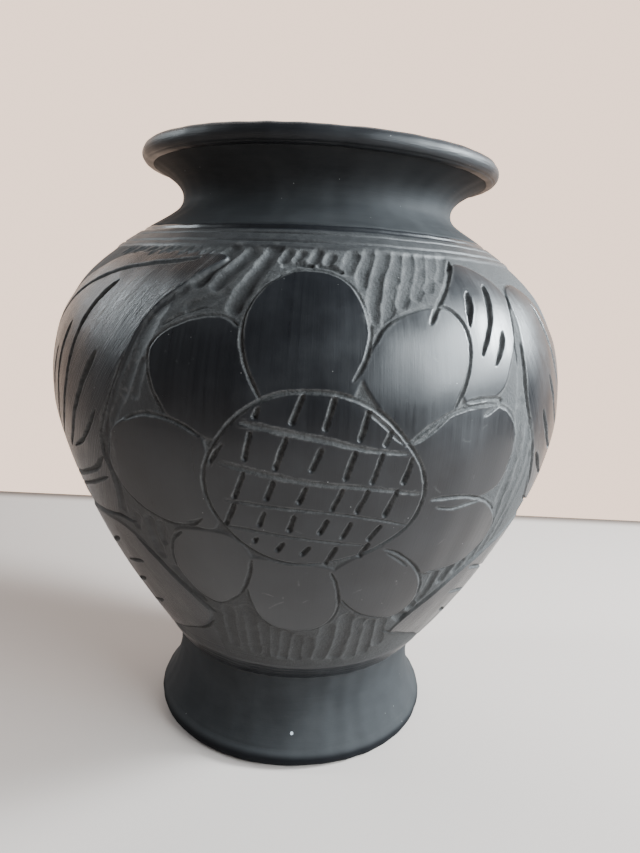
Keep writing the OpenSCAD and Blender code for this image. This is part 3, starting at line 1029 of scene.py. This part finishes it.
def around(n, turn_rate, height_rate):
    """Coordinates that follow the pot: turn_rate per radian round it, height_rate per metre up."""
    outward = n.vector("NORMALIZE", n.vector("MULTIPLY", n.place(), (1, 1, 0)))
    rotate = n.add("ShaderNodeVectorRotate", rotation_type="Z_AXIS")
    leaning = n.feed(rotate, Vector=outward, Angle=n.attribute("lean"))[0]
    wide = n.vector("MULTIPLY", leaning, (turn_rate, turn_rate, turn_rate))
    return n.vector("ADD", n.vector("MULTIPLY", n.place(), (0, 0, height_rate)), wide)


def specks(n):
    """A share that is 1 on a few scattered grains of dust and 0 elsewhere."""
    cells = n.feed(n.add("ShaderNodeTexVoronoi"), Vector=n.place(), Scale=320.0)
    grain = n.maths("LESS_THAN", cells["Distance"], 0.045)
    pick = n.feed(n.add("ShaderNodeSeparateColor"), Color=cells["Color"])[0]
    return n.maths("MULTIPLY", grain, n.above(pick, 0.6, 2.5))


def fleck(n, middle, radius):
    """A share that is 1 on one small spot round middle, on the front, and 0 elsewhere."""
    flat = n.vector("MULTIPLY", n.vector("SUBTRACT", n.place(), middle), (1, 0.1, 1))
    return n.maths("LESS_THAN", n.vector("LENGTH", flat), radius)


# Roughness of a satin face, what a graphite sheen takes off it, and that of scraped clay
SATIN_ROUGH, SHEEN_SMOOTHS, SCRAPED_ROUGH = 0.6, 0.39, 0.78
# Specular level of a satin face, and what a graphite sheen adds to it
SATIN_SHINE, SHEEN_SHINES = 0.09, 0.31
# Heights in metres of the strokes and of the scraped grain, and the strength of brushed strokes
STROKE_HEIGHT, GRAIN_HEIGHT, BRUSHED_STRENGTH = 0.0002, 0.00035, 0.85
# Heights in metres between which painted shade darkens the foot's edge
HEEL_SHADE_FROM, HEEL_SHADE_FULL_AT = 0.0052, 0.0032


def clay(name, turn_rate, height_rate, polish, brush, full, thin_colour, spot=None):
    """Smoke-fired black clay, matt and dusty where it is cut.

    polish is 1 for a graphite sheen and 0 for a satin face; brush is the strength of its strokes;
    full and thin_colour are its colours. A foot has a spot, and painted shade that darkens its edge at
    its seat.
    """
    material = bpy.data.materials.new(name)
    n = Nodes(material)
    strokes = around(n, turn_rate, height_rate)
    scraped, dust_and_painted_light = n.attribute("scraped"), n.attribute("dust_and_painted_light")
    streaks = n.noise(strokes, 1.0, 3.0, 0.6)
    fine_streaks = n.noise(strokes, 3.4, 2.0, 0.6)
    clouds = n.noise(n.place(), 60.0, 4.0, 0.6)
    grain = n.noise(n.place(), 1500.0, 3.0, 0.7)
    coarse = n.noise(n.place(), 420.0, 2.0, 0.6)
    # Where the burnish is thinner the clay looks a little paler and rougher
    thin = n.above(clouds, 0.42, 2.2)
    tone = n.mix(n.maths("MULTIPLY", streaks, 0.35), full, thin_colour)
    tone = n.mix(n.maths("MULTIPLY", thin, 0.7), tone, thin_colour)
    tone = n.mix(scraped, tone, n.mix(grain, SCRAPED_DARK, SCRAPED_LIGHT))
    dusty = n.above(n.maths("ADD", n.maths("MULTIPLY", grain, 0.6), coarse), 0.66, 3.0)
    # Pale dust: its share is partly painted light, raised higher up and lowered where shade is painted
    tone = n.mix(n.maths("MULTIPLY", n.maths("MULTIPLY", dusty, dust_and_painted_light), 0.8), tone, DUSTY)
    tone = n.mix(n.maths("MULTIPLY", specks(n), 0.8), tone, SPECK)
    if spot:
        # Painted shade: the foot's lowest band, turned away from the light, darkens to the burnished
        # black
        heel = n.fade(n.split(n.place())["Z"], HEEL_SHADE_FROM, HEEL_SHADE_FULL_AT)
        tone = n.mix(heel, tone, BURNISHED)
        tone = n.mix(fleck(n, *spot), tone, FLECK)
    rough = n.maths("ADD", n.maths("MULTIPLY", streaks, 0.2), SATIN_ROUGH - SHEEN_SMOOTHS * polish)
    rough = n.maths("ADD", rough, n.maths("MULTIPLY", thin, 0.16))
    brushed = n.mix(n.attribute("brushed"), brush, BRUSHED_STRENGTH)
    scratch = n.add("ShaderNodeBump")
    n.feed(scratch, Strength=brushed, Distance=STROKE_HEIGHT, Height=fine_streaks)
    gritty = n.add("ShaderNodeBump")
    n.feed(gritty, Strength=n.mix(scraped, 0.03, 0.6), Distance=GRAIN_HEIGHT, Normal=scratch.outputs[0])
    n.feed(gritty, Height=n.maths("ADD", grain, coarse))
    n.feed(n.shader, Base_Color=tone, Roughness=n.mix(scraped, rough, SCRAPED_ROUGH))
    n.feed(n.shader, Specular_IOR_Level=SATIN_SHINE + SHEEN_SHINES * polish, Normal=gritty.outputs[0])
    return material


BODY_CLAY = clay("clay_burnished_upright", 75.0, 26.0, 1.0, 0.09, BURNISHED, BURNISHED_THIN)
NECK_CLAY = clay("clay_satin_neck", 2.2, 900.0, 0.0, 0.25, SATIN, SATIN_THIN)
FOOT_CLAY = clay("clay_satin_foot", 2.2, 500.0, 0.0, 0.15, SATIN, SATIN_THIN, FLECK_ON_FOOT)
LIP_CLAY = clay("clay_burnished_lip", 2.2, 900.0, 0.6, 0.5, BURNISHED, BURNISHED_THIN)


# ---------------- the pieces on their bodies

bowl_carving, belly_carving, shoulder_carving = carved_body([BOWL_LINE, BELLY_LINE, SHOULDER_LINE])
PARTS = [
    (make_foot_ring(), "foot_ring", "burnished_clay", FOOT_CLAY),
    (make_base_bowl(bowl_carving), "base_bowl", "carved_clay", BODY_CLAY),
    (make_belly_wall(belly_carving), "belly_wall", "carved_clay", BODY_CLAY),
    (make_shoulder(shoulder_carving), "shoulder", "carved_clay", BODY_CLAY),
    (make_neck_collar(), "neck_collar", "burnished_clay", NECK_CLAY),
    (make_lip_coil(), "lip_coil", "burnished_clay", LIP_CLAY),
]
for piece, node, slot, material in PARTS:
    piece.data.materials.append(material)
    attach(piece, "root")
    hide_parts(node)


# ---------------- floor, light and camera

FLOOR_PALE = (0.46, 0.41, 0.38)
# A dark brown for the painted shade along the floor's back edge
FLOOR_SEAM_SHADE = (0.11, 0.085, 0.07)
# In metres: half the floor's side, how far behind the pot it ends, and the width of painted shade along
# that edge
FLOOR_SIDE, FLOOR_BACK, SEAM_SHADE_WIDTH = 3.0, 0.215, 0.016
ROOM_DIM = (0.16, 0.15, 0.155)
ROOM_PALE = (2.1, 1.58, 1.26)
DAYLIGHT = (0.86, 0.95, 1.0)
FILL_LIGHT = (1.0, 0.97, 0.94)


def pale_floor():
    """The floor ends a hand's breadth behind the pot, against the pale room, with painted shade darkening
    its back edge.
    """
    corners = [(x, y, 0) for x, y in (
        (-FLOOR_SIDE, -FLOOR_SIDE),
        (FLOOR_SIDE, -FLOOR_SIDE),
        (FLOOR_SIDE, FLOOR_BACK),
        (-FLOOR_SIDE, FLOOR_BACK),
    )]
    mesh = bpy.data.meshes.new("floor")
    mesh.from_pydata(corners, [], [(0, 1, 2, 3)])
    floor = bpy.data.objects.new("floor", mesh)
    bpy.context.scene.collection.objects.link(floor)
    material = bpy.data.materials.new("pale_floor")
    n = Nodes(material)
    # Painted shade: the floor darkens over its last strip towards its back edge
    seam_shade = n.fade(n.split(n.place())["Y"], FLOOR_BACK - SEAM_SHADE_WIDTH, FLOOR_BACK)
    tone = n.mix(seam_shade, FLOOR_PALE, FLOOR_SEAM_SHADE)
    n.feed(n.shader, Base_Color=tone, Roughness=0.95, Specular_IOR_Level=0.1)
    mesh.materials.append(material)


def softbox(name, place, aim, size, power, colour, spread, roll=0):
    """A rectangular light of size (width, height) that faces aim.

    Lengths are metres, power is watts, and spread, its beam, and roll are degrees.
    """
    light = bpy.data.lights.new(name, "AREA")
    light.shape = "RECTANGLE"
    light.size, light.size_y = size
    light.energy = power
    light.color = colour
    light.spread = math.radians(spread)
    lamp = bpy.data.objects.new(name, light)
    lamp.location = place
    lamp.rotation_mode = "QUATERNION"
    faces = (Vector(aim) - Vector(place)).to_track_quat("-Z", "Y")
    lamp.rotation_quaternion = faces @ Quaternion((0, 0, 1), math.radians(roll))
    bpy.context.scene.collection.objects.link(lamp)


def graded_world():
    """A pale, warm room behind the pot that is dim in front of it and above."""
    world = bpy.data.worlds.new("studio")
    bpy.context.scene.world = world
    n = Nodes(world, "Background")
    direction = n.split(n.place("Generated"))
    behind = n.fade(direction["Y"], 0.4, 0.85)
    level = n.fade(direction["Z"], 0.5, 0.85, 1.0, 0.1)
    n.feed(n.shader, Color=n.mix(n.maths("MULTIPLY", behind, level), ROOM_DIM, ROOM_PALE))


def studio_light():
    """Daylight from windows on the right, a narrow one on the left, and a fill from behind."""
    graded_world()
    middle = (0, 0, 0.12)
    softbox("window_right_core", (0.85, 0.03, 0.52), middle, (0.2, 0.26), 7, DAYLIGHT, 80)
    softbox("window_right_wide", (0.96, -0.46, 0.53), middle, (0.95, 0.54), 14.5, DAYLIGHT, 100)
    softbox("window_left", (-1.03, 0.275, 0.68), middle, (0.15, 0.66), 1.25, DAYLIGHT, 60, 30)
    softbox("fill_behind", (0, 0.9, 1.1), (0, 0.1, 0), (1.2, 0.7), 4, FILL_LIGHT, 110)


def photo_camera():
    """The camera stands in front, a little below the rim, tipped down and rolled a little.

    distance and height are metres, and focal is in pixels of the picture.
    """
    distance, height = 0.2367, 0.15785
    pitch, yaw, roll = math.radians(12.19), math.radians(1.326), math.radians(3.135)
    image_height, focal = 853, 641.0
    forward = Vector((math.sin(yaw) * math.cos(pitch), math.cos(yaw) * math.cos(pitch), -math.sin(pitch)))
    right = Vector((math.cos(yaw), -math.sin(yaw), 0))
    up = right.cross(forward)
    side = right * math.cos(roll) + up * math.sin(roll)
    top = up * math.cos(roll) - right * math.sin(roll)
    data = bpy.data.cameras.new("camera")
    data.sensor_width = 36.0
    data.lens = focal / image_height * data.sensor_width
    data.clip_start, data.clip_end = 0.01, 20
    camera = bpy.data.objects.new("camera", data)
    turn = Matrix((side, top, -forward)).transposed()
    camera.matrix_world = Matrix.Translation((0, -distance, height)) @ turn.to_4x4()
    bpy.context.scene.collection.objects.link(camera)
    bpy.context.scene.camera = camera


pale_floor()
studio_light()
photo_camera()
